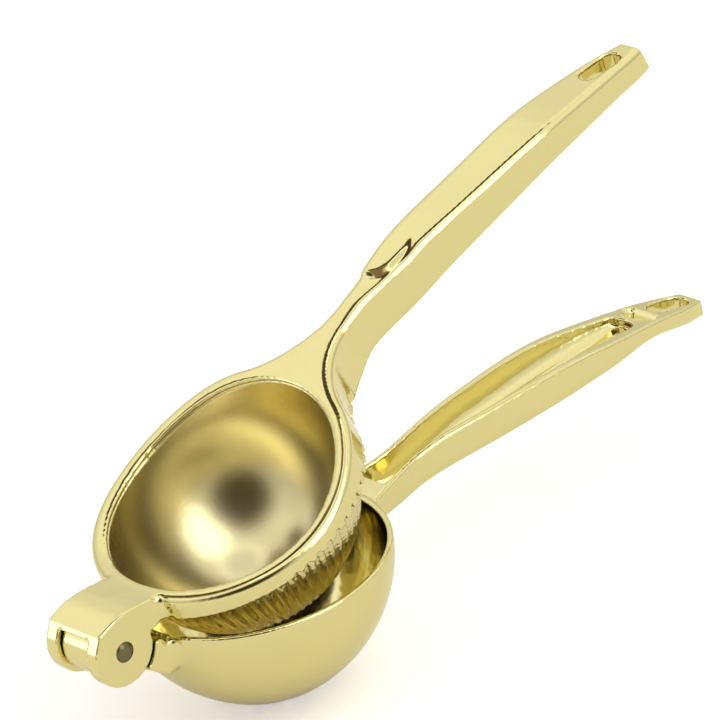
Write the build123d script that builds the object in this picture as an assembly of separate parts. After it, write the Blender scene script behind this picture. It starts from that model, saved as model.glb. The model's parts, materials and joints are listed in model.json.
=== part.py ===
"""Hinged lemon squeezer: a bowl arm and a press arm on one hinge pin.

Millimetres. +X runs from the hinge to the handles, +Z is up and the rim of
the bowl lies flat. The origin is the middle of the small flat that the bowl
stands on. Pieces are drawn in the rim frame, whose origin is the middle of
the rim, with the arms shut; the press side is then turned open.
"""
from build123d import *
from math import cos, pi, radians, sin, sqrt
import os

# ------------------------------------------------------------------- sizes
# Bowl
bowl_radius = 37.9            # outside at the rim
bowl_depth = 38.4             # outside, from the rim to where the round would close
bowl_fullness = 1.87          # 2 is a true sphere, less is more pointed
bowl_wall = 1.6
bowl_steps = 8                # points along the round's side line
rest_flat_radius = 6.0        # flat under the bowl, for standing
drain_slot_count = 8
drain_slot_width = 3.0
drain_slot_inner_radius = 8.8
drain_slot_outer_radius = 16.5

# Hinge
hinge_overhang = 13.5         # hinge axis to the outside of the bowl
hinge_rise = 4.1              # hinge axis above the rim
hinge_width = 19.8            # over both ears
ear_radius = 9.4
ear_thickness = 4.1
knuckle_radius = 8.0
washer_thickness = 0.5
washer_radius = 6.6
pin_radius = 2.0
pin_head_radius = 2.8
pin_head_height = 0.8
pin_running_gap = 0.05        # pin to the knuckle's bore
pin_seat_gap = 0.02           # pin to the ears and washers
knuckle_side_gap = 0.06       # washer to knuckle
knuckle_top_gap = 0.5         # tongue to knuckle
ear_gap = 0.9                 # ear to the concave face of the lug

# Lug that carries the knuckle
ledge_height = 1.3            # flush shoulder above the rim
ledge_gap = 0.6               # shoulder to the ring when shut
lug_depth = 8.5               # below the rim, where the lug leaves the ears
lug_root_depth = 11.5         # below the rim, where the lug meets the bowl
neck_angle = 50.0             # where the neck leaves the round of the knuckle
slot_front_angle = 121.0      # front edge of the slot between the ears
slot_back_angle = 225.0       # the slot is open to here when the arms are apart
cheek_gap = 0.3               # tongue to the flush shoulder when shut
nose_length = 3.7             # flat top of the tongue, past the hinge axis
nose_angle = 125.0            # where its slope runs into the round of the ears

# Ring and cup of the press arm
ring_step = 0.05              # ring inside the bowl's outside
peel_room = 1.7               # cup to the bowl's wall when shut
cup_wall = 1.6
lip_height = 1.2              # polished lip above the cup's edge
cup_seat_gap = 0.05
closing_gap = 0.5             # ring to rim when the arms are shut
dome_rise = 3.5               # centre of the round end above the ring's underside
flute_count = 60
flute_width = 1.7
flute_depth = 0.6
flute_land = 0.2              # metal left between the flutes where they end
tooth_start_angle = 112.0     # first notch in the ring, from the handle
tooth_height = 3.4            # notch height at the handle
tooth_low_height = 0.6        # notch height at the first notch
flute_reach = 8.8             # the notches run this far out under the neck
press_edge_round = 2.0        # top edges of the ring, throat, neck and handle
throat_radius = 27.0          # hollow curve from the ring to the neck
neck_sink = 0.8               # the neck ends this far inside the handle's skin
tongue_drops = [(0.35, 0.7), (0.70, 2.6)]   # top of the tongue: share of the way, drop

# Top of the ring: share of its radius from the middle, height above its underside
ring_line = [(-0.975, 8.4), (-0.86, 6.8), (-0.57, 5.4), (-0.28, 5.0), (0.01, 5.6), (0.27, 7.2),
             (0.48, 9.2), (0.70, 11.8), (0.88, 13.7)]

# Underside below the neck: distance past the bowl, height above the closing gap
heel_line = [(11.1, 0.5), (7.6, 0.0)]

# Handles: distance past the bowl, top above the rim, depth, width
press_handle = [(14.6, 16.2, 14.2, 8.6), (21.6, 16.8, 13.4, 7.6), (28.6, 17.4, 13.8, 9.0),
                (36.6, 17.8, 13.7, 11.8), (45.6, 17.8, 13.0, 13.8), (64.6, 16.0, 11.6, 15.2),
                (82.6, 14.1, 10.5, 16.0), (95.6, 12.5, 9.7, 16.4), (107.6, 10.1, 8.9, 15.2),
                (118.6, 7.6, 8.2, 13.2), (126.6, 5.6, 7.9, 11.2), (134.3, 3.6, 7.5, 8.2)]
bowl_handle = [(-6.4, -0.8, 7.6, 23.0), (0.6, -0.4, 7.6, 18.0), (5.6, 0.1, 8.2, 15.2),
               (10.6, 0.6, 8.9, 13.4), (16.6, 1.4, 9.4, 11.8), (22.6, 2.2, 9.7, 12.0),
               (30.6, 2.9, 10.1, 13.6), (40.6, 3.1, 10.2, 16.2), (50.6, 3.0, 10.2, 17.8),
               (66.6, 2.7, 10.0, 19.8), (80.6, 1.5, 8.9, 20.2), (92.6, -0.5, 6.8, 19.0),
               (103.6, -2.4, 4.8, 16.6), (114.6, -4.7, 5.0, 14.2), (121.6, -6.4, 5.3, 11.8),
               (127.5, -7.8, 5.3, 8.6)]
handle_wall = 1.8
handle_roof = 2.2             # metal over the press handle's hollow
handle_floor = 2.2            # metal under the bowl handle's channel
handle_edge_round = 0.8
handle_belly_round = 2.6      # underside of the bowl handle
round_limit = 0.3             # most of a section that one edge round may take
hollow_round = 1.6            # inside edges of the press handle's hollow
channel_round = 3.4           # inside edges of the bowl handle's channel
cutter_overhang = 4.0         # the cuts start this far outside the handle
cutter_round = 0.1            # their edges out there
station_gap = 1.0             # a cut leaves out stations nearer than this to its ends
press_hollow = (34.6, 108.6)      # hollow under the press handle, distances past the bowl
bowl_channel = (6.6, 103.2)   # channel along the bowl handle
channel_end_wall = 4.0        # walls beside the tip end of the channel
channel_end_radius = 6.5      # that end is round, seen from above
press_eye = (123.0, 14.0, 6.4)    # hanging eye: middle past the bowl, length, width
bowl_eye = (118.9, 13.4, 7.6)
recess_depth = 1.5            # shield-shaped recess before the bowl handle's eye

# Its outline: distance past the bowl, half width
recess_line = [(103.6, 2.0), (105.3, 4.2), (108.0, 5.9), (110.4, 5.0)]

# Opening angle of the press arm
rest_opening = 17.7           # degrees, as it stands open

# ------------------------------------------------------------ worked out
bowl_inner_radius = bowl_radius - bowl_wall
rim_height = bowl_depth * (1 - (rest_flat_radius / bowl_radius) ** bowl_fullness) ** (1 / bowl_fullness)
rim_frame = Pos(0, 0, rim_height)
hinge_reach = bowl_radius + hinge_overhang
hinge = Pos(-hinge_reach, 0, hinge_rise)
hinge_axis = Axis((-hinge_reach, 0, hinge_rise), (0, -1, 0))
ear_inner = hinge_width / 2 - ear_thickness
knuckle_half = ear_inner - washer_thickness - knuckle_side_gap
ring_radius = bowl_radius - ring_step
cup_radius = bowl_inner_radius - peel_room
lip_radius = cup_radius - cup_wall
ring_bore_radius = cup_radius + cup_seat_gap
ledge_end = -ring_radius - ledge_gap
flute_pole_radius = flute_count * (flute_width + flute_land) / (2 * pi)
neck_width = press_handle[1][3]
tall = 2 * bowl_radius        # longer than any cut


# --------------------------------------------------------------- helpers
def side_solid(points, width):
    """Prism of a side outline (distance, height), width wide across Y."""
    face = make_face(Polyline(*points, close=True))
    return Pos(0, width / 2, 0) * extrude(Plane.XZ * face, width)


def under_line(line, underside, width):
    """Prism between a smooth top line and the straight lines of an underside."""
    face = make_face([Spline(*line), Polyline(line[-1], *underside, line[0])])
    return Pos(0, width / 2, 0) * extrude(Plane.XZ * face, width)


def across(radius, width, middle=0.0):
    """Cylinder along the hinge axis."""
    return hinge * Pos(0, middle, 0) * Rot(90, 0, 0) * Cylinder(radius, width)


def upright(radius, height=tall):
    """Cylinder that stands on the rim plane."""
    return Cylinder(radius, height, align=(Align.CENTER, Align.CENTER, Align.MIN))


def on_knuckle(radius, angle):
    """Point on a circle about the hinge axis."""
    turn = radians(angle)
    return (radius * cos(turn) - hinge_reach, radius * sin(turn) + hinge_rise)


def bar(stations, top_round, bottom_round):
    """Handle lofted through its stations."""
    sections = []
    for past, top, depth, width in stations:
        face = Pos(0, top - depth / 2) * Rectangle(width, depth)
        most = round_limit * min(width, depth)
        face = fillet(face.vertices().group_by(Axis.Y)[-1], min(top_round, most))
        face = fillet(face.vertices().group_by(Axis.Y)[0], min(bottom_round, most))
        plane = Plane(origin=(bowl_radius + past, 0, 0), x_dir=(0, 1, 0), z_dir=(1, 0, 0))
        sections.append(plane * face)
    return loft(sections)


def station_at(stations, past):
    """A station anywhere along a handle."""
    for a, b in zip(stations, stations[1:]):
        if past <= b[0]:
            share = (past - a[0]) / (b[0] - a[0])
            return tuple(p + share * (q - p) for p, q in zip(a, b))
    return stations[-1]


def between(stations, start, end):
    """The stations from start to end, with new ones at the two ends."""
    inside = [s for s in stations if start + station_gap < s[0] < end - station_gap]
    return [station_at(stations, start)] + inside + [station_at(stations, end)]


def eye(stations, place, length, width):
    """Long hole through a handle, square to its slope."""
    before = station_at(stations, place - length / 2)
    after = station_at(stations, place + length / 2)
    slope = (after[1] - before[1]) / length
    middle = (bowl_radius + place, 0, (before[1] + after[1]) / 2)
    plane = Plane(origin=middle, x_dir=(1, 0, slope), z_dir=(-slope, 0, 1))
    return extrude(plane * SlotOverall(length, width), 3 * width, both=True)


# ----------------------------------------------------------- bowl arm
def lug():
    """Flush shoulder, neck and knuckle between the bowl and the hinge."""
    clear = ear_radius + ear_gap
    root = -bowl_inner_radius
    shoulder = side_solid([(-hinge_reach, ledge_height), (ledge_end, ledge_height), (ledge_end, 0),
                           (root, 0), (root, -lug_root_depth), (-hinge_reach + clear, -lug_depth),
                           (-hinge_reach, 0)], hinge_width)
    shoulder -= across(clear, 2 * hinge_width)
    neck = side_solid([on_knuckle(knuckle_radius, -90), on_knuckle(0, 0),
                       on_knuckle(knuckle_radius, neck_angle), (root, 0), (root, -lug_root_depth),
                       (-hinge_reach + clear, -lug_depth)], 2 * knuckle_half)
    return shoulder + neck + across(knuckle_radius, 2 * knuckle_half)


def bowl_round(inset):
    """Round of the bowl, pulled in by inset all over."""
    radius = bowl_radius - inset
    depth = bowl_depth - inset
    line = []
    for step in range(bowl_steps + 1):
        angle = radians(90 * step / bowl_steps)
        out = radius * cos(angle) ** (2 / bowl_fullness)
        line.append((out, -depth * sin(angle) ** (2 / bowl_fullness)))
    face = make_face([Spline(*line, tangents=[(0, -1), (-1, 0)]), Polyline(line[-1], (0, 0), line[0])])
    return revolve(Plane.XZ * face, Axis.Z)


def drain_slots():
    length = drain_slot_outer_radius - drain_slot_inner_radius
    middle = drain_slot_inner_radius + length / 2
    slot = Pos(middle, 0) * SlotOverall(length, drain_slot_width)
    cutter = Pos(0, 0, -2 * bowl_radius) * extrude(slot, 2 * bowl_radius)
    turn = 360 / drain_slot_count
    return [Rot(0, 0, (k + 0.5) * turn) * cutter for k in range(drain_slot_count)]


def handle_channel():
    """Room that makes the bowl handle open-topped, with a round end at the tip."""
    start, end = bowl_channel
    channel = []
    for past, top, depth, width in between(bowl_handle, start, end):
        wall = handle_wall + (channel_end_wall - handle_wall) * ((past - start) / (end - start)) ** 2
        deep = depth + cutter_overhang - handle_floor
        channel.append((past, top + cutter_overhang, deep, width - 2 * wall))
    bend = bowl_radius + end - channel_end_radius
    room = Pos(bend, 0, -tall) * upright(channel_end_radius, 2 * tall)
    room += side_solid([(0, -tall), (bend, -tall), (bend, tall), (0, tall)], tall)
    return bar(channel, cutter_round, channel_round) & room


def tip_recess():
    """Shield-shaped recess in the bowl handle's top, deepest beside the eye."""
    side = [(bowl_radius + past, half) for past, half in recess_line]
    plan = make_face(Polyline(*side, *[(x, -y) for x, y in side[::-1]], close=True))
    (first, _), (last, _) = side[0], side[-1]
    high = station_at(bowl_handle, recess_line[0][0])[1]
    low = station_at(bowl_handle, recess_line[-1][0])[1] - recess_depth
    wedge = side_solid([(first, high), (last, low), (last, tall), (first, tall)], tall)
    return wedge & extrude(plan, tall, both=True)


def bowl_arm():
    """Bowl, lug and open-topped handle, one casting."""
    outside = bowl_round(0) & Pos(0, 0, -rim_height / 2) * Box(tall, tall, rim_height)
    handle = bar(bowl_handle, handle_edge_round, handle_belly_round)
    handle -= [handle_channel(), tip_recess(), eye(bowl_handle, *bowl_eye)]
    arm = outside + lug() + handle
    arm -= [bowl_round(bowl_wall), upright(bowl_inner_radius)]
    arm -= across(pin_radius + pin_running_gap, hinge_width)
    return arm - drain_slots()


# ---------------------------------------------------------- press arm
def press_plan():
    """Plan outline of the ring, its throat into the neck and the hinge tongue."""
    neck_length = ring_radius + throat_radius
    neck = Pos(neck_length / 2, 0) * Rectangle(neck_length, neck_width)
    throat_y = neck_width / 2 + throat_radius
    throat_x = sqrt((ring_radius + throat_radius) ** 2 - throat_y ** 2)
    touch = ring_radius / (ring_radius + throat_radius)
    web = make_face(Polyline((0, 0), (throat_x * touch, throat_y * touch), (throat_x, neck_width / 2),
                             (throat_x, -neck_width / 2), (throat_x * touch, -throat_y * touch),
                             close=True))
    web -= [Pos(throat_x, side * throat_y) * Circle(throat_radius) for side in (1, -1)]
    tongue_length = hinge_reach + ear_radius
    tongue = Pos(-tongue_length / 2, 0) * Rectangle(tongue_length, hinge_width)
    return Circle(ring_radius) + neck + web + tongue


def press_top():
    """Side line of the top, from the hinge over the ring to the neck."""
    tongue_end = ring_line[0][0] * ring_radius + hinge_reach
    top = ear_radius + hinge_rise
    tongue = [(-hinge_reach, top)]
    tongue += [(share * tongue_end - hinge_reach, top - drop) for share, drop in tongue_drops]
    ring = [(share * ring_radius, closing_gap + height) for share, height in ring_line]
    (start, start_top, _, _), (end, end_top, _, _) = press_handle[:2]
    neck = [(bowl_radius + start, start_top), (bowl_radius + end, end_top - neck_sink)]
    return tongue + ring + neck


def clevis_slot():
    """Room between the ears for the knuckle and its neck."""
    clear = knuckle_radius + knuckle_top_gap
    x, z = on_knuckle(clear, neck_angle)
    slope = on_knuckle(knuckle_radius, neck_angle)[1] / (x + bowl_inner_radius)
    end = x - (z - closing_gap / 2) / slope
    wedge = side_solid([on_knuckle(3 * clear, slot_front_angle), on_knuckle(3 * clear, slot_back_angle),
                        (x, -tall), (end, -tall), (end, closing_gap / 2), (x, z),
                        on_knuckle(0, 0)], 2 * ear_inner)
    return [across(clear, 2 * ear_inner), wedge]


def notches():
    """Cuts that the flutes make in the ring's lower edge."""
    pitch = 360 / flute_count
    count = int(tooth_start_angle / pitch)
    reach = ring_radius + flute_reach - lip_radius
    cuts = []
    for k in range(-count, count + 1):
        share = 1 - abs(k * pitch) / tooth_start_angle
        height = tooth_low_height + (tooth_height - tooth_low_height) * share
        tooth = Pos(lip_radius + reach / 2, 0, closing_gap) * Box(reach, flute_width, 2 * height)
        cuts.append(Rot(0, 0, k * pitch) * tooth)
    return cuts


def press_arm():
    """Ring, hinge ears and handle with a hollow underside, one casting."""
    (start, start_top, start_depth, _), (end, end_top, end_depth, _) = press_handle[:2]
    underside = [(bowl_radius + end, end_top - end_depth + neck_sink),
                 (bowl_radius + start, start_top - start_depth)]
    underside += [(bowl_radius + past, closing_gap + height) for past, height in heel_line]
    underside += [(-hinge_reach, closing_gap)]
    plan = Pos(0, 0, -tall) * extrude(press_plan(), 2 * tall)
    body = under_line(press_top(), underside, tall) & plan
    rim_edges = body.faces().filter_by(GeomType.EXTRUSION)[0].edges()
    body = fillet([edge for edge in rim_edges if edge.center().X > -lip_radius], press_edge_round)

    handle = bar(press_handle, press_edge_round, handle_edge_round)
    hollow = [(past, top - handle_roof, depth + cutter_overhang, width - 2 * handle_wall)
              for past, top, depth, width in between(press_handle, *press_hollow)]
    handle -= bar(hollow, hollow_round, cutter_round)
    handle -= eye(press_handle, *press_eye)

    foot = side_solid([(-hinge_reach, closing_gap), (-hinge_reach, ledge_height + ear_gap),
                       (-hinge_reach + ear_radius, ledge_height + ear_gap),
                       (ledge_end + cheek_gap, ledge_height + cheek_gap),
                       (ledge_end + cheek_gap, closing_gap)], tall)
    nose = side_solid([on_knuckle(0, 0), on_knuckle(ear_radius, 90),
                       (-hinge_reach - nose_length, hinge_rise + ear_radius),
                       on_knuckle(ear_radius, nose_angle)], hinge_width)
    arm = body - foot + across(ear_radius, hinge_width) + nose + handle
    arm -= clevis_slot()
    cup_line = [(x, z - lip_height) for x, z in press_top()]
    seat = Pos(0, 0, -tall) * upright(ring_bore_radius, 2 * tall)
    seat &= under_line(cup_line, [(cup_line[-1][0], -tall), (cup_line[0][0], -tall)], tall)
    arm -= [Pos(0, 0, -tall) * upright(lip_radius, 2 * tall), seat]
    arm -= across(pin_radius + pin_seat_gap, 2 * hinge_width)
    return arm - notches()


def flutes():
    """Grooves down the round of the cup, cut by a fan of thin plates."""
    zone = Pos(0, 0, -tall) * upright(2 * cup_radius, tall)
    zone -= [Sphere(cup_radius - flute_depth), Pos(0, 0, -tall) * upright(flute_pole_radius)]
    pitch = 360 / flute_count
    plates = [Rot(0, 0, k * pitch) * Box(4 * cup_radius, flute_width, 4 * cup_radius)
              for k in range(flute_count // 2)]
    return [zone & plate for plate in plates]


def press_cup():
    """Thin cup seated in the ring, with a fluted round end."""
    middle = Pos(0, 0, closing_gap + dome_rise)
    shell = upright(cup_radius) + Sphere(cup_radius) - [upright(lip_radius), Sphere(lip_radius)]
    shell = middle * (shell - flutes())
    line = [(x, z - lip_height - cup_seat_gap) for x, z in press_top()]
    return shell & under_line(line, [(line[-1][0], -tall), (line[0][0], -tall)], tall)


# ---------------------------------------------------------- hinge pieces
def hinge_pin():
    """Rivet with a domed head at each end."""
    sphere_radius = (pin_head_radius ** 2 + pin_head_height ** 2) / (2 * pin_head_height)
    dome = Pos(0, 0, pin_head_height - sphere_radius) * Sphere(sphere_radius)
    dome &= upright(2 * pin_head_radius, 2 * pin_head_height)
    ends = [hinge * Pos(0, side * hinge_width / 2, 0) * Rot(-90 * side, 0, 0) * dome for side in (1, -1)]
    return across(pin_radius, hinge_width) + ends


def washer(side):
    """Thin washer between one ear and the knuckle."""
    middle = side * (ear_inner - washer_thickness / 2)
    disc = across(washer_radius, washer_thickness, middle)
    return disc - across(pin_radius + pin_seat_gap, hinge_width)


def opened(piece):
    """Turn a piece of the press side from shut to the angle it rests at."""
    return piece.rotate(hinge_axis, rest_opening)


pieces = {
    "bowl_arm": bowl_arm(),
    "press_arm": opened(press_arm()),
    "press_cup": opened(press_cup()),
    "hinge_pin": opened(hinge_pin()),
    "washer_near": opened(washer(-1)),
    "washer_far": opened(washer(1)),
}

os.makedirs("parts", exist_ok=True)
for name, piece in pieces.items():
    export_step(rim_frame * piece, f"parts/{name}.step")
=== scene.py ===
"""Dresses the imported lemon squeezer: polished and satin gold castings, studio and camera."""
import json
import math

import bmesh
import bpy
import numpy as np
from mathutils.bvhtree import BVHTree
from mathutils.kdtree import KDTree
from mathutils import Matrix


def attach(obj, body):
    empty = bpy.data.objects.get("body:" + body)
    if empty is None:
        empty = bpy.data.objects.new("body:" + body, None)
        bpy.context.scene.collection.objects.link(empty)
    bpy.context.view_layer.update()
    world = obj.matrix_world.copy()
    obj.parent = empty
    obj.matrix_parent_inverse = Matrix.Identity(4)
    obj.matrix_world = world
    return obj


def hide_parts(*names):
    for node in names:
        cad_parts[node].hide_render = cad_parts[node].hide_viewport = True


bl_info = {
    "name": "Lemon Squeezer Dressing",
    "version": (1, 0, 0),
    "blender": (4, 5, 0),
    "location": "3D View > Sidebar > Squeezer",
    "description": "Gives the hinged lemon squeezer its polished and satin metal and a plain studio",
    "category": "Object",
}

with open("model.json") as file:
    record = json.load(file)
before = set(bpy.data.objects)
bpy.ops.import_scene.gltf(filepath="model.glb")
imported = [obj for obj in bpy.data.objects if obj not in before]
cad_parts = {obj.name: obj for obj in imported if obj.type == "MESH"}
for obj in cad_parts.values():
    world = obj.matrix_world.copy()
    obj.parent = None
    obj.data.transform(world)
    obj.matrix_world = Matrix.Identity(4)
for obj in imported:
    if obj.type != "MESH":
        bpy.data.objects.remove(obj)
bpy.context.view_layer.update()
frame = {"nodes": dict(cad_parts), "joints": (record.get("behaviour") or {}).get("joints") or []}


# ------------------------------------------------------------------ settings
class CastingSettings(bpy.types.PropertyGroup):
    """Sizes of the castings' finish work."""
    grain: bpy.props.FloatProperty(
        name="Mesh grain", description="Edge length of the dressed castings' mesh",
        default=0.00045, min=0.0003, max=0.002, unit="LENGTH")
    face_rounds: bpy.props.IntProperty(
        name="Face rounds", description="How often the faces between the edges are evened",
        default=24, min=0, max=80)
    edge_rounds: bpy.props.IntProperty(
        name="Edge rounds", description="How often the edges are rubbed over",
        default=6, min=0, max=60)
    crease_angle: bpy.props.FloatProperty(
        name="Crease angle", description="Faces that meet at more than this make an edge",
        subtype="ANGLE", default=math.radians(24), min=0.1, max=1.5)
    crease_width: bpy.props.FloatProperty(
        name="Crease width", description="Distance from an edge where the faces start to be evened",
        default=0.0009, min=0.0002, max=0.004, unit="LENGTH")
    pad_height: bpy.props.FloatProperty(
        name="Pad height", description="How far the press handle's thumb pad stands over the neck",
        default=0.0008, min=0, max=0.002, unit="LENGTH")
    lip_rounds: bpy.props.IntProperty(
        name="Lip rounds", description="How often the edge of the ring's lip is rubbed over",
        default=14, min=0, max=40)
    blend_rounds: bpy.props.IntProperty(
        name="Blend rounds", description="How often the castings' inner corners are blended",
        default=30, min=0, max=80)


class MetalSettings(bpy.types.PropertyGroup):
    """Colours of the metals."""
    gold: bpy.props.FloatVectorProperty(
        name="Gold plating", description="Colour of the polished plating", subtype="COLOR",
        size=3, min=0, max=1, default=(0.80, 0.718, 0.345))
    satin: bpy.props.FloatVectorProperty(
        name="Satin plating", description="Colour of the brushed plating inside the cup and bowl",
        subtype="COLOR", size=3, min=0, max=1, default=(0.74, 0.66, 0.37))
    pin: bpy.props.FloatVectorProperty(
        name="Pin", description="Colour of the rivet's metal", subtype="COLOR",
        size=3, min=0, max=1, default=(0.17, 0.16, 0.08))
    washer: bpy.props.FloatVectorProperty(
        name="Washers", description="Colour of the washers' metal", subtype="COLOR",
        size=3, min=0, max=1, default=(0.30, 0.28, 0.22))


class StudioSettings(bpy.types.PropertyGroup):
    """Camera and surroundings."""
    # The floor's warm tint is painted bounce light: the gold's reflection of the floor and the
    # floor's shadow take the warm cast of light bounced off the gold.
    floor: bpy.props.FloatVectorProperty(
        name="Floor", description="Colour of the floor", subtype="COLOR",
        size=3, min=0, max=1, default=(0.88, 0.855, 0.775))
    lens: bpy.props.FloatProperty(
        name="Lens", description="Focal length of the camera in millimetres",
        default=301.18, min=50, max=600)
    camera_place: bpy.props.FloatVectorProperty(
        name="Camera place", description="Where the camera stands", subtype="TRANSLATION",
        unit="LENGTH", size=3, default=(-0.791096, -1.098280, 0.803405))
    camera_turn: bpy.props.FloatVectorProperty(
        name="Camera turn", description="How the camera is turned", subtype="EULER",
        size=3, default=tuple(math.radians(a) for a in (61.47854, 11.51101, -43.62852)))


# Levels of the studio's walls from straight down (0) to straight up (1), and their tint
WALL_LEVELS = ((0.0, 0.6), (0.5, 0.62), (0.6, 0.7), (0.765, 0.92), (0.835, 1.11), (1.0, 1.0))
WALL_TINT = (1, 0.985, 0.93)

# Soft boxes and dark flags: azimuth, elevation, inner and outer radius in degrees, level
STUDIO_PATCHES = ((-84, 56, 14, 20, 2.4), (-81, 36, 13, 19, 2.5), (-76, 17, 11, 17, 2.5),
                  (130, 20, 12, 20, 1.15), (136, 5, 8, 13, 2.2), (-142, 31, 16, 37, 0.06),
                  (66, 62, 11, 14, 0.08), (92, 61, 11, 14, 0.08), (118, 60, 8, 12, 0.25),
                  (135, 44, 7, 10, 0.08), (0, 90, 18, 21, 1.5), (0, 90, 12, 15, 0.9))
FLAG_LEVEL = 0.5                # patches under this level are flags,
FLAG_TINT = 0.45                # which are brown: their blue as a share of their red

# Floor: half of its side in metres, its gloss, and its own glow for the rays that show it
FLOOR_HALF = 6
FLOOR_ROUGHNESS = 0.9
FLOOR_SPECULAR = 0.1
FLOOR_GLOW = (("Is Camera Ray", 0.38), ("Is Glossy Ray", 0.06), ("Is Transmission Ray", 0.38))
# Bluish glow, so that the floor with its painted warm bounce light still looks white where it is
# lit.
FLOOR_GLOW_COLOUR = (1, 1.0, 1.1, 1)

# Camera: width of its film in millimetres, nearest and farthest distance in metres
FILM_WIDTH = 36
CLIP = (0.01, 50)

# Metals: roughness and bump of each, then the noise that varies them
POLISHED = ((0.07, 0.13), (900, 0.03))
BRUSHED = ((0.20, 0.30), (1100, 0.15))
STEEL = ((0.16, 0.3), (2500, 0.3))
DULL_STEEL = ((0.3, 0.45), (2500, 0.3))
CLOUDS = (55, 3)                # scale, detail
MARKS_DETAIL = 4
MARKS_DEPTH = 0.0001            # metres

# Rubbing: share of the way to its neighbours that a vertex moves, then back again
RUB_STEP = 0.62
RUB_BACK = -0.60
BLEND_BACK = 0.5
LIP_BACK = -0.2
WELD_GAP = 1e-6                 # metres; vertices nearer than this are one

# All sizes below are in millimetres, except the two that say metres

# Thumb pad on the press handle: past the bowl and across, along its edge and its slope's foot
PAD_EDGE = ((31.6, 6.5), (32.1, 3.2), (32.8, 1.4), (34.3, -0.5), (36.6, -1.8), (40.4, -2.3),
            (43.3, -2.4), (46.8, -1.7))
PAD_FOOT = ((31.0, 6.5), (31.1, 3.0), (31.1, 0.7), (31.7, -1.3), (33.0, -2.8), (35.6, -3.9),
            (39.7, -4.2), (43.5, -3.8), (46.8, -1.7))
PAD_FAR = 60                    # its outline is closed this far past the bowl
PAD_FADE = 9                    # from its foot towards the neck
PAD_END = (40, 47.5)            # where it runs out past the bowl
PAD_HEIGHTS = (13, 15)          # above the rim; only the handle's top is lowered

# Inner corners that the casting blends softly, in the frame of the rim: middle, half size, reach
PRESS_BLENDS = (((-36.2, 9.9, 3.8), (0, 0, 2.6), 2.8), ((-36.2, -9.9, 3.8), (0, 0, 2.6), 2.8))
BOWL_BLENDS = (((-36.4, 9.9, -5.5), (0.6, 0, 5.5), 2.4),
               ((-36.4, -9.9, -5.5), (0.6, 0, 5.5), 2.4), ((-36.0, 0, -10.8), (0, 9.5, 0), 2.4))
FULL_REACH = 0.4                # share of the reach inside which the blend is full

# Channel of the bowl handle: past the bowl, top, floor, half width
CHANNEL = ((6.6, 0.2, -5.9, 5.6), (10.6, 0.6, -6.1, 4.9), (16.6, 1.4, -5.8, 4.1),
           (22.6, 2.2, -5.3, 4.1), (30.6, 2.9, -5.0, 4.9), (40.6, 3.1, -4.9, 6.0),
           (50.6, 3.0, -5.0, 6.6), (66.6, 2.7, -5.1, 7.3), (80.6, 1.5, -5.2, 7.0),
           (92.6, -0.5, -5.1, 6.0), (103.2, -2.3, -5.0, 4.3))
CHANNEL_LEAN = 0.3              # share of the half width that the walls gain at the floor
CHANNEL_FADES = (6, 12)         # length of the lean's start and end
CHANNEL_WALL = 0.7              # depth of wall that belongs to the channel
CHANNEL_SLACK = 1               # room past the channel's tip end and under its floor
RECESS = (101.5, 112.0)         # recess at the tip, past the bowl
RECESS_HALF = 6.5

LIP_RADIUS = 33.0
LIP_ZONE = (0.7, 1.8)           # distance from the lip's edge: rubbed fully, not at all
LIP_HEIGHTS = (4, 5)            # above the rim; only the lip's top edge is rubbed
HINGE_HALF = 9.9
PIN_RADIUS = 2.0
PIN_HEAD = (2.8, 0.8)           # radius, height
DOME_RADIUS = 2.42              # of the dome inside the head's fine groove
DOME_STEPS = 10
HEAD_GROOVE = ((0.05, 0.1), (0.12, 0.1), (0.17, 0.18))   # out from the dome, height
HEAD_EDGE = ((-0.06, 0.16), (0, 0.08), (0, 0.0))         # out from the head's radius, height
RIVET_CREASE = 50               # degrees

BOWL_RADIUS = 0.0379            # metres
HINGE_RISE = 0.0041             # metres, above the rim


# ------------------------------------------------------------------- helpers
def node_copy(node, name):
    """A new object with a welded copy of a node's mesh."""
    mesh = frame["nodes"][node].data.copy()
    mesh.name = name
    mesh.materials.clear()
    work = bmesh.new()
    work.from_mesh(mesh)
    bmesh.ops.remove_doubles(work, verts=work.verts, dist=WELD_GAP)
    work.to_mesh(mesh)
    work.free()
    piece = bpy.data.objects.new(name, mesh)
    bpy.context.scene.collection.objects.link(piece)
    return piece


def applied(piece):
    """Puts the piece's modifiers into its mesh."""
    bpy.context.view_layer.update()
    graph = bpy.context.evaluated_depsgraph_get()
    mesh = bpy.data.meshes.new_from_object(piece.evaluated_get(graph))
    old = piece.data
    piece.modifiers.clear()
    piece.data = mesh
    mesh.name = piece.name
    bpy.data.meshes.remove(old)


def coordinates(mesh):
    """Places of a mesh's vertices, one row each."""
    points = np.empty(len(mesh.vertices) * 3)
    mesh.vertices.foreach_get("co", points)
    return points.reshape(-1, 3)


def place_vertices(mesh, points):
    mesh.vertices.foreach_set("co", points.ravel())
    mesh.update()


def rub(points, edges, rounds, where=1.0, back=RUB_BACK):
    """Rounds edges and evens faces; the step back keeps the form from shrinking."""
    a, b = edges[:, 0], edges[:, 1]
    count = len(points)
    links = np.bincount(a, minlength=count) + np.bincount(b, minlength=count)
    links = np.maximum(links, 1)[:, None]
    for step in range(2 * rounds):
        share = RUB_STEP if step % 2 == 0 else back
        around = np.stack([np.bincount(a, points[b, k], count)
                           + np.bincount(b, points[a, k], count) for k in range(3)], axis=1)
        points = points + share * where * (around / links - points)
    return points


def edge_pairs(mesh):
    """The two vertices of each edge, one row each."""
    pairs = np.empty(len(mesh.edges) * 2, dtype=np.int64)
    mesh.edges.foreach_get("vertices", pairs)
    return pairs.reshape(-1, 2)


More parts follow.
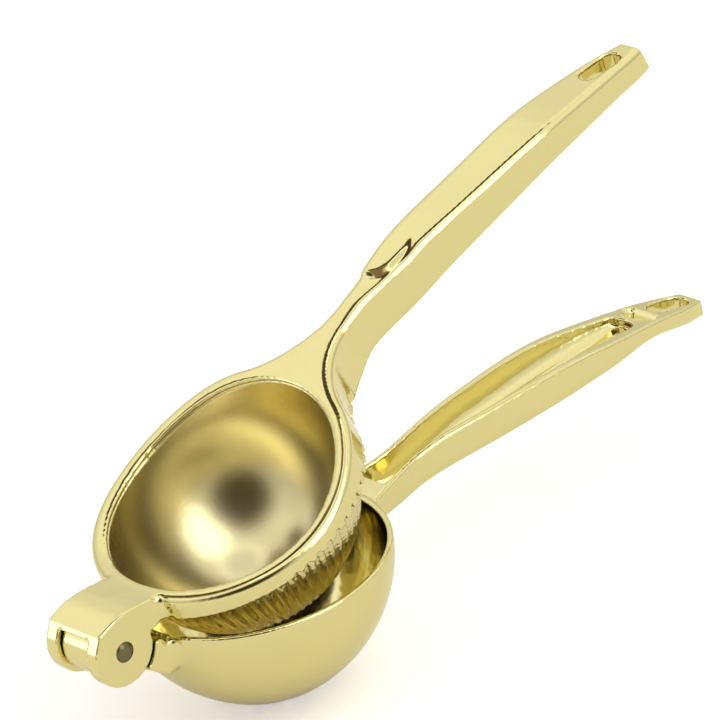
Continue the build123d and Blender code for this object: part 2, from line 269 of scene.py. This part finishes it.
def crease_tree(mesh, settings):
    """Search tree of points along the mesh's sharp edges."""
    form = bmesh.new()
    form.from_mesh(mesh)
    sharp = [edge for edge in form.edges if edge.calc_face_angle(math.pi) > settings.crease_angle]
    points = []
    for edge in sharp:
        start, end = (corner.co for corner in edge.verts)
        steps = max(1, math.ceil((end - start).length / settings.grain))
        points += [start.lerp(end, step / steps) for step in range(steps + 1)]
    form.free()
    tree = KDTree(len(points))
    for index, point in enumerate(points):
        tree.insert(point, index)
    tree.balance()
    return tree


def smooth_step(value, low, high):
    """Runs softly from 0 at low to 1 at high."""
    share = np.clip((value - low) / (high - low), 0, 1)
    return share * share * (3 - 2 * share)


def rim_frame(points, opened):
    """Points in millimetres from the middle of the rim, with the press side turned shut."""
    hinge = frame["joints"][0]
    axis = np.array(hinge["pos_m"])
    turn = math.radians(-hinge["range_deg"][0]) if opened else 0.0
    x, z = points[:, 0] - axis[0], points[:, 2] - axis[2]
    shut = np.stack([x * math.cos(turn) + z * math.sin(turn), points[:, 1],
                     z * math.cos(turn) - x * math.sin(turn)], axis=1)
    return 1000 * (shut + (axis[0], 0, HINGE_RISE))


def line_distance(points, line):
    """Distance in a plane to a line through given points."""
    line = np.array(line)
    best = np.full(len(points), np.inf)
    for start, end in zip(line, line[1:]):
        along = end - start
        share = np.clip((points - start) @ along / (along @ along), 0, 1)[:, None]
        best = np.minimum(best, np.linalg.norm(points - start - share * along, axis=1))
    return best


def inside(points, outline):
    """Which points of a plane lie inside an outline."""
    outline = np.array(outline)
    result = np.zeros(len(points), bool)
    for (ax, ay), (bx, by) in zip(outline, np.roll(outline, -1, axis=0)):
        if ay != by:
            cross = (points[:, 1] > ay) != (points[:, 1] > by)
            result ^= cross & (points[:, 0] < ax + (bx - ax) * (points[:, 1] - ay) / (by - ay))
    return result


def past_bowl(place):
    return place[:, 0] - 1000 * BOWL_RADIUS


def pad_drop(place):
    """Share of the pad's height that the press handle's top loses at each place, in millimetres."""
    flat = np.stack([past_bowl(place), place[:, 1]], axis=1)
    foot = line_distance(flat, PAD_FOOT)
    edge = line_distance(flat, PAD_EDGE)
    slope = edge / np.maximum(edge + foot, 1e-6)
    pad = inside(flat, (*PAD_EDGE, (PAD_FAR, PAD_EDGE[-1][1]), (PAD_FAR, PAD_EDGE[0][1])))
    between = inside(flat, (*PAD_FOOT, *PAD_EDGE[::-1]))
    drop = np.where(pad, 0, np.where(between, slope, 1 - smooth_step(foot, 0, PAD_FADE)))
    fade = 1 - smooth_step(flat[:, 0], *PAD_END)
    return drop * fade * smooth_step(place[:, 2], *PAD_HEIGHTS)


def blend(points, pairs, place, corners, rounds):
    """Fills inner corners softly."""
    near = np.zeros(len(points))
    for middle, half, reach in corners:
        off = np.maximum(np.abs(place - middle) - half, 0)
        far = smooth_step(np.linalg.norm(off, axis=1), FULL_REACH * reach, reach)
        near = np.maximum(near, 1 - far)
    return rub(points, pairs, rounds, near[:, None], BLEND_BACK)


def lean_channel(points, place):
    """Leans the walls of the bowl handle's channel, as a casting's walls lean."""
    line = np.array(CHANNEL)
    past = past_bowl(place)
    start, end = line[0, 0], line[-1, 0]
    top, floor, half = (np.interp(past, line[:, 0], line[:, k]) for k in (1, 2, 3))
    room = (past > start) & (past < end + CHANNEL_SLACK)
    room &= np.abs(place[:, 1]) < half + CHANNEL_WALL
    room &= place[:, 2] > floor - CHANNEL_SLACK
    share = np.clip((place[:, 2] - floor) / (top - floor), 0, 1)
    fade_in, fade_out = CHANNEL_FADES
    fade = smooth_step(past, start, start + fade_in) * (1 - smooth_step(past, end - fade_out, end))
    points[:, 1] *= 1 - np.where(room, CHANNEL_LEAN * fade * (1 - share) ** 2, 0)
    return points


def soften_lip(points, pairs, place, rounds):
    """Rounds the inner edge of the ring's lip over the cup."""
    off = np.abs(np.hypot(place[:, 0], place[:, 1]) - LIP_RADIUS)
    near = (1 - smooth_step(off, *LIP_ZONE)) * smooth_step(place[:, 2], *LIP_HEIGHTS)
    return rub(points, pairs, rounds, near[:, None], LIP_BACK)


def cast(node, name, settings, corners, opened):
    """Evenly meshed casting with smooth faces and softly rounded edges, in a node's place."""
    piece = node_copy(node, name)
    box = coordinates(piece.data)
    low, high = box.min(axis=0), box.max(axis=0)
    skin = BVHTree.FromPolygons([corner.co for corner in piece.data.vertices],
                                [face.vertices for face in piece.data.polygons])
    creases = crease_tree(piece.data, settings)
    remesh = piece.modifiers.new("even", "REMESH")
    remesh.mode = "VOXEL"
    remesh.voxel_size = settings.grain
    applied(piece)
    mesh = piece.data
    points = np.array([skin.find_nearest(point)[0] for point in coordinates(mesh)])
    reach = np.array([creases.find(point)[2] for point in points])[:, None]
    pairs = edge_pairs(mesh)
    away = smooth_step(reach, 0.5 * settings.crease_width, 2 * settings.crease_width)
    place = rim_frame(points, opened)
    if node == "bowl_arm":
        past = past_bowl(place)
        recess = (past > RECESS[0]) & (past < RECESS[1])
        away[recess & (np.abs(place[:, 1]) < RECESS_HALF)] = 1
        points = lean_channel(points, place)
    points = rub(points, pairs, settings.face_rounds, away)
    points = blend(points, pairs, place, corners, settings.blend_rounds)
    if opened:
        points = soften_lip(points, pairs, place, settings.lip_rounds)
        points[:, 2] -= settings.pad_height * pad_drop(place)
    place_vertices(mesh, np.clip(rub(points, pairs, settings.edge_rounds), low, high))
    mesh.shade_smooth()
    return piece


def rivet_profile():
    """Side line of the rivet from one end to the other: radius, place along the pin."""
    radius, height = PIN_HEAD
    sphere = (radius ** 2 + height ** 2) / (2 * height)
    end = []
    for step in range(DOME_STEPS + 1):
        out = DOME_RADIUS * step / DOME_STEPS
        end.append((out, math.sqrt(sphere ** 2 - out ** 2) - sphere + height))
    end += [(DOME_RADIUS + out, high) for out, high in HEAD_GROOVE]
    end += [(radius + out, high) for out, high in HEAD_EDGE] + [(PIN_RADIUS, 0.0)]
    end = [(out, HINGE_HALF + along) for out, along in end]
    return end + [(out, -along) for out, along in reversed(end)]


def turned(name, profile, sides=72):
    """Round piece on the hinge axis."""
    hinge = np.array(frame["joints"][0]["pos_m"])
    form = bmesh.new()
    rings = []
    for out, along in profile:
        turns = [2 * math.pi * side / sides for side in range(sides)] if out > 0 else [0.0]
        places = [(out * math.cos(turn), along, out * math.sin(turn)) for turn in turns]
        rings.append([form.verts.new(hinge + np.array(place) / 1000) for place in places])
    for near, far in zip(rings, rings[1:]):
        for side in range(sides):
            after = (side + 1) % sides
            corners = [near[side % len(near)], near[after % len(near)],
                       far[after % len(far)], far[side % len(far)]]
            form.faces.new(list(dict.fromkeys(corners)))
    bmesh.ops.recalc_face_normals(form, faces=form.faces)
    mesh = bpy.data.meshes.new(name)
    form.to_mesh(mesh)
    form.free()
    mesh.shade_smooth()
    mesh.set_sharp_from_angle(angle=math.radians(RIVET_CREASE))
    piece = bpy.data.objects.new(name, mesh)
    bpy.context.scene.collection.objects.link(piece)
    return piece


def finish_piece(piece, body, node):
    """Lets the piece ride on its body in the place of a node."""
    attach(piece, body)
    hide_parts(node)


# ----------------------------------------------------------------- materials
def metal(name, colour, roughness, bump):
    """Metal with its own roughness patches and fine marks."""
    material = bpy.data.materials.new(name)
    material.use_nodes = True
    nodes, links = material.node_tree.nodes, material.node_tree.links
    shader = nodes["Principled BSDF"]
    shader.inputs["Metallic"].default_value = 1.0
    shader.inputs["Base Color"].default_value = (*colour, 1)
    place = nodes.new("ShaderNodeTexCoord")
    clouds = nodes.new("ShaderNodeTexNoise")
    clouds.inputs["Scale"].default_value, clouds.inputs["Detail"].default_value = CLOUDS
    links.new(place.outputs["Object"], clouds.inputs["Vector"])
    span = nodes.new("ShaderNodeMapRange")
    span.inputs["To Min"].default_value = roughness[0]
    span.inputs["To Max"].default_value = roughness[1]
    links.new(clouds.outputs["Fac"], span.inputs["Value"])
    links.new(span.outputs["Result"], shader.inputs["Roughness"])
    marks = nodes.new("ShaderNodeTexNoise")
    marks.inputs["Scale"].default_value = bump[0]
    marks.inputs["Detail"].default_value = MARKS_DETAIL
    links.new(place.outputs["Object"], marks.inputs["Vector"])
    relief = nodes.new("ShaderNodeBump")
    relief.inputs["Strength"].default_value = bump[1]
    relief.inputs["Distance"].default_value = MARKS_DEPTH
    links.new(marks.outputs["Fac"], relief.inputs["Height"])
    links.new(relief.outputs["Normal"], shader.inputs["Normal"])
    return material


def shared(name, *values):
    """The metal of this name, made when it is first asked for."""
    return bpy.data.materials.get(name) or metal(name, *values)


# ----------------------------------------------------------------- operators
class SQUEEZER_OT_bowl_arm(bpy.types.Operator):
    """Dress the bowl arm."""
    bl_idname = "squeezer.bowl_arm"
    bl_label = "Bowl arm"

    def execute(self, context):
        metals = context.scene.squeezer_metals
        settings = context.scene.squeezer_casting
        piece = cast("bowl_arm", "bowl_arm_polished", settings, BOWL_BLENDS, False)
        piece.data.materials.append(shared("polished_gold", metals.gold, *POLISHED))
        finish_piece(piece, "bowl_arm", "bowl_arm")
        return {"FINISHED"}


class SQUEEZER_OT_press_arm(bpy.types.Operator):
    """Dress the press arm."""
    bl_idname = "squeezer.press_arm"
    bl_label = "Press arm"

    def execute(self, context):
        metals = context.scene.squeezer_metals
        settings = context.scene.squeezer_casting
        piece = cast("press_arm", "press_arm_polished", settings, PRESS_BLENDS, True)
        piece.data.materials.append(shared("polished_gold", metals.gold, *POLISHED))
        finish_piece(piece, "press_arm", "press_arm")
        return {"FINISHED"}


class SQUEEZER_OT_press_cup(bpy.types.Operator):
    """Dress the fluted cup."""
    bl_idname = "squeezer.press_cup"
    bl_label = "Press cup"

    def execute(self, context):
        metals = context.scene.squeezer_metals
        settings = context.scene.squeezer_casting
        piece = cast("press_cup", "press_cup_satin", settings, (), False)
        piece.data.materials.append(shared("satin_gold", metals.satin, *BRUSHED))
        finish_piece(piece, "press_arm", "press_cup")
        return {"FINISHED"}


class SQUEEZER_OT_hinge(bpy.types.Operator):
    """Dress the hinge pin and its two washers."""
    bl_idname = "squeezer.hinge"
    bl_label = "Hinge pin and washers"

    def execute(self, context):
        metals = context.scene.squeezer_metals
        pin = turned("hinge_rivet", rivet_profile())
        pin.data.materials.append(shared("rivet_steel", metals.pin, *STEEL))
        finish_piece(pin, "press_arm", "hinge_pin")
        for node in ("washer_near", "washer_far"):
            part = frame["nodes"][node]
            part.data.materials.clear()
            part.data.materials.append(shared("washer_steel", metals.washer, *DULL_STEEL))
        return {"FINISHED"}


def world_light():
    """Soft studio round the object: pale walls, soft boxes and dark flags; seen direct, white."""
    world = bpy.data.worlds.new("studio")
    bpy.context.scene.world = world
    world.use_nodes = True
    nodes, links = world.node_tree.nodes, world.node_tree.links
    back = nodes["Background"]
    place = nodes.new("ShaderNodeTexCoord")
    split = nodes.new("ShaderNodeSeparateXYZ")
    links.new(place.outputs["Generated"], split.inputs["Vector"])
    walls = nodes.new("ShaderNodeValToRGB")
    walls.color_ramp.interpolation = "EASE"
    ramp = walls.color_ramp.elements
    while len(ramp) < len(WALL_LEVELS):
        ramp.new(0.5)
    for stop, (where, level) in zip(ramp, WALL_LEVELS):
        stop.position = where
        stop.color = (*(level * share for share in WALL_TINT), 1)
    rise = nodes.new("ShaderNodeMath")
    rise.operation = "MULTIPLY_ADD"
    rise.inputs[1].default_value = 0.5
    rise.inputs[2].default_value = 0.5
    links.new(split.outputs["Z"], rise.inputs[0])
    links.new(rise.outputs[0], walls.inputs["Fac"])
    total = walls.outputs["Color"]
    for patch in STUDIO_PATCHES:
        total = add_patch(nodes, links, place, total, *patch)
    seen = nodes.new("ShaderNodeLightPath")
    white = nodes.new("ShaderNodeMix")
    white.data_type = "RGBA"
    clear = nodes.new("ShaderNodeMath")
    clear.operation = "MAXIMUM"
    links.new(seen.outputs["Is Camera Ray"], clear.inputs[0])
    links.new(seen.outputs["Is Transmission Ray"], clear.inputs[1])
    links.new(clear.outputs[0], white.inputs["Factor"])
    links.new(total, white.inputs["A"])
    white.inputs["B"].default_value = (1, 1, 1, 1)
    links.new(white.outputs["Result"], back.inputs["Color"])


def add_patch(nodes, links, place, total, azimuth, elevation, inner, outer, level):
    """Mixes a round patch with a light level of its own over the surroundings so far."""
    a, e = math.radians(azimuth), math.radians(elevation)
    aim = nodes.new("ShaderNodeVectorMath")
    aim.operation = "DOT_PRODUCT"
    aim.inputs[1].default_value = (math.cos(e) * math.cos(a), math.cos(e) * math.sin(a),
                                   math.sin(e))
    links.new(place.outputs["Generated"], aim.inputs[0])
    edge = nodes.new("ShaderNodeMapRange")
    edge.interpolation_type = "SMOOTHSTEP"
    edge.inputs["From Min"].default_value = math.cos(math.radians(outer))
    edge.inputs["From Max"].default_value = math.cos(math.radians(inner))
    links.new(aim.outputs["Value"], edge.inputs["Value"])
    mix = nodes.new("ShaderNodeMix")
    mix.data_type = "RGBA"
    links.new(edge.outputs["Result"], mix.inputs["Factor"])
    links.new(total, mix.inputs["A"])
    tint = 1 if level > FLAG_LEVEL else FLAG_TINT
    mix.inputs["B"].default_value = (level, (0.5 + 0.5 * tint) * level, tint * level, 1)
    return mix.outputs["Result"]


def add_floor(scene, colour):
    """Plain pale floor, tinted warm as painted bounce light from the gold, that glows a little in
    the rays that show it.
    """
    mesh = bpy.data.meshes.new("floor")
    form = bmesh.new()
    bmesh.ops.create_grid(form, x_segments=2, y_segments=2, size=FLOOR_HALF)
    form.to_mesh(mesh)
    form.free()
    floor = bpy.data.objects.new("floor", mesh)
    scene.collection.objects.link(floor)
    material = bpy.data.materials.new("floor_paper")
    material.use_nodes = True
    nodes, links = material.node_tree.nodes, material.node_tree.links
    shader = nodes["Principled BSDF"]
    # The warm floor colour carries painted bounce light from the gold.
    shader.inputs["Base Color"].default_value = (*colour, 1)
    shader.inputs["Roughness"].default_value = FLOOR_ROUGHNESS
    shader.inputs["Specular IOR Level"].default_value = FLOOR_SPECULAR
    glow = nodes.new("ShaderNodeEmission")
    glow.inputs["Color"].default_value = FLOOR_GLOW_COLOUR
    seen = nodes.new("ShaderNodeLightPath")
    total = None
    for ray, strength in FLOOR_GLOW:
        level = nodes.new("ShaderNodeMath")
        level.operation = "MULTIPLY_ADD"
        level.inputs[1].default_value = strength
        level.inputs[2].default_value = 0
        links.new(seen.outputs[ray], level.inputs[0])
        if total:
            links.new(total, level.inputs[2])
        total = level.outputs[0]
    links.new(total, glow.inputs["Strength"])
    both = nodes.new("ShaderNodeAddShader")
    links.new(shader.outputs[0], both.inputs[0])
    links.new(glow.outputs[0], both.inputs[1])
    links.new(both.outputs[0], nodes["Material Output"].inputs["Surface"])
    mesh.materials.append(material)


def add_camera(scene, settings):
    """Camera that looks at the squeezer from above the hinge side."""
    lens = bpy.data.cameras.new("camera")
    lens.sensor_width = FILM_WIDTH
    lens.lens = settings.lens
    lens.clip_start, lens.clip_end = CLIP
    camera = bpy.data.objects.new("camera", lens)
    camera.location = settings.camera_place
    camera.rotation_euler = settings.camera_turn
    scene.collection.objects.link(camera)
    scene.camera = camera


class SQUEEZER_OT_stage(bpy.types.Operator):
    """Set up the floor, the light and the camera."""
    bl_idname = "squeezer.stage"
    bl_label = "Studio"

    def execute(self, context):
        settings = context.scene.squeezer_studio
        add_floor(context.scene, settings.floor)
        world_light()
        add_camera(context.scene, settings)
        context.scene.view_settings.view_transform = "Standard"
        return {"FINISHED"}


class SQUEEZER_PT_panel(bpy.types.Panel):
    """Lists the settings and the steps."""
    bl_idname = "SQUEEZER_PT_panel"
    bl_label = "Lemon squeezer"
    bl_space_type = "VIEW_3D"
    bl_region_type = "UI"
    bl_category = "Squeezer"

    def draw(self, context):
        for settings in (context.scene.squeezer_casting, context.scene.squeezer_metals,
                         context.scene.squeezer_studio):
            for name in settings.bl_rna.properties.keys():
                if name not in {"rna_type", "name"}:
                    self.layout.prop(settings, name)
        for step in STEPS:
            self.layout.operator(step.bl_idname)


SETTINGS = {
    "squeezer_casting": CastingSettings,
    "squeezer_metals": MetalSettings,
    "squeezer_studio": StudioSettings,
}
STEPS = (SQUEEZER_OT_bowl_arm, SQUEEZER_OT_press_arm, SQUEEZER_OT_press_cup, SQUEEZER_OT_hinge,
         SQUEEZER_OT_stage)


def register():
    for group in (*SETTINGS.values(), *STEPS, SQUEEZER_PT_panel):
        bpy.utils.register_class(group)
    for name, group in SETTINGS.items():
        setattr(bpy.types.Scene, name, bpy.props.PointerProperty(type=group))


def unregister():
    for name in SETTINGS:
        delattr(bpy.types.Scene, name)
    for group in (SQUEEZER_PT_panel, *reversed(STEPS), *SETTINGS.values()):
        bpy.utils.unregister_class(group)


def main():
    register()
    bpy.ops.squeezer.bowl_arm()
    bpy.ops.squeezer.press_arm()
    bpy.ops.squeezer.press_cup()
    bpy.ops.squeezer.hinge()
    bpy.ops.squeezer.stage()


if __name__ == "__main__":
    main()
